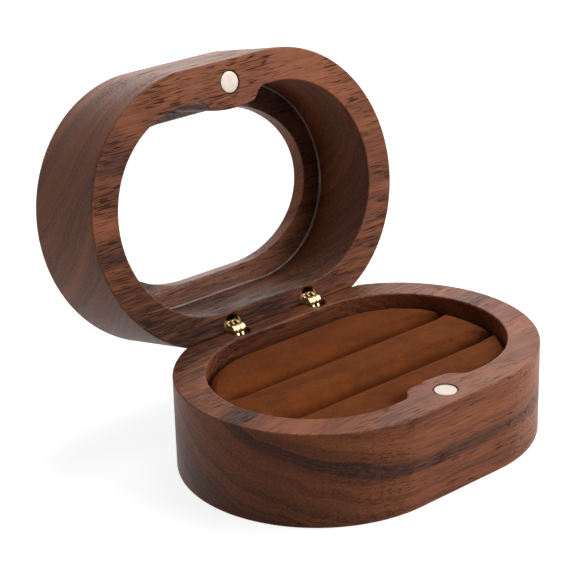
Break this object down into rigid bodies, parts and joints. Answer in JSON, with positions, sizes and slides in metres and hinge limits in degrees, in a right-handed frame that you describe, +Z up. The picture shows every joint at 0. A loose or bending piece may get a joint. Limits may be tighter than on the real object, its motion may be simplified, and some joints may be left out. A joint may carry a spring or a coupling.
{
  "type": "ring display box",
  "caption": "Stadium-shaped walnut ring display box with a windowed lid on concealed brass barrel hinges, a magnetic catch and a slotted suede ring cushion.",
  "frame": {"origin": "centre of the flat underside of the base, on the surface that the box stands on", "axes": "+X along the long axis, to the right seen from the magnet side; -Y to the front, where the magnets are; +Y to the back, where the hinges are; +Z up"},
  "size_m": [0.087, 0.096, 0.0794],
  "materials": {
    "walnut": "satin oiled walnut with dark pore streaks",
    "clear_pane": "clear acrylic, polished",
    "plated_magnet": "satin nickel plating",
    "suede": "napped brown suede cloth over foam",
    "card": "plain card",
    "brass_barrel": "turned brass",
    "brass_leaf": "stamped and tumbled brass",
    "brass_pin": "drawn brass wire"
  },
  "bodies": {
    "base": {"base_body": "walnut", "base_magnet": "plated_magnet", "cushion_front": "suede", "cushion_middle": "suede", "cushion_back": "suede", "cushion_board": "card", "left_base_barrel": "brass_barrel", "left_base_pin": "brass_pin", "right_base_barrel": "brass_barrel", "right_base_pin": "brass_pin"},
    "lid": {"lid_body": "walnut", "window_pane": "clear_pane", "lid_magnet": "plated_magnet", "left_lid_barrel": "brass_barrel", "left_lid_pin": "brass_pin", "right_lid_barrel": "brass_barrel", "right_lid_pin": "brass_pin"},
    "left_base_leaves": {"left_leaf_1": "brass_leaf", "left_leaf_3": "brass_leaf", "left_leaf_5": "brass_leaf", "left_centre_pin": "brass_pin", "left_lid_slide_pin": "brass_pin"},
    "left_lid_leaves": {"left_leaf_2": "brass_leaf", "left_leaf_4": "brass_leaf", "left_base_slide_pin": "brass_pin"},
    "right_base_leaves": {"right_leaf_1": "brass_leaf", "right_leaf_3": "brass_leaf", "right_leaf_5": "brass_leaf", "right_centre_pin": "brass_pin", "right_lid_slide_pin": "brass_pin"},
    "right_lid_leaves": {"right_leaf_2": "brass_leaf", "right_leaf_4": "brass_leaf", "right_base_slide_pin": "brass_pin"}
  },
  "joints": [
    {"name": "lid_hinge", "type": "hinge", "parent": "base", "child": "lid", "pos_m": [0, 0.02855, 0.021], "axis": [-1, 0, 0], "range_deg": [-103, 0]},
    {"name": "left_base_leaves_pivot", "type": "hinge", "parent": "base", "child": "left_base_leaves", "pos_m": [-0.0115, 0.02815, 0.0196], "axis": [-1, 0, 0], "range_deg": [-44.29, 0]},
    {"name": "left_lid_leaves_pivot", "type": "hinge", "parent": "lid", "child": "left_lid_leaves", "pos_m": [-0.0115, 0.03, 0.02107], "axis": [-1, 0, 0], "range_deg": [0, 44.29]},
    {"name": "right_base_leaves_pivot", "type": "hinge", "parent": "base", "child": "right_base_leaves", "pos_m": [0.0115, 0.02815, 0.0196], "axis": [-1, 0, 0], "range_deg": [-44.29, 0]},
    {"name": "right_lid_leaves_pivot", "type": "hinge", "parent": "lid", "child": "right_lid_leaves", "pos_m": [0.0115, 0.03, 0.02107], "axis": [-1, 0, 0], "range_deg": [0, 44.29]}
  ],
  "couplings": [
    {"joint": "left_base_leaves_pivot", "follows": "lid_hinge", "ratio": 0.43},
    {"joint": "left_lid_leaves_pivot", "follows": "lid_hinge", "ratio": -0.43},
    {"joint": "right_base_leaves_pivot", "follows": "lid_hinge", "ratio": 0.43},
    {"joint": "right_lid_leaves_pivot", "follows": "lid_hinge", "ratio": -0.43}
  ]
}
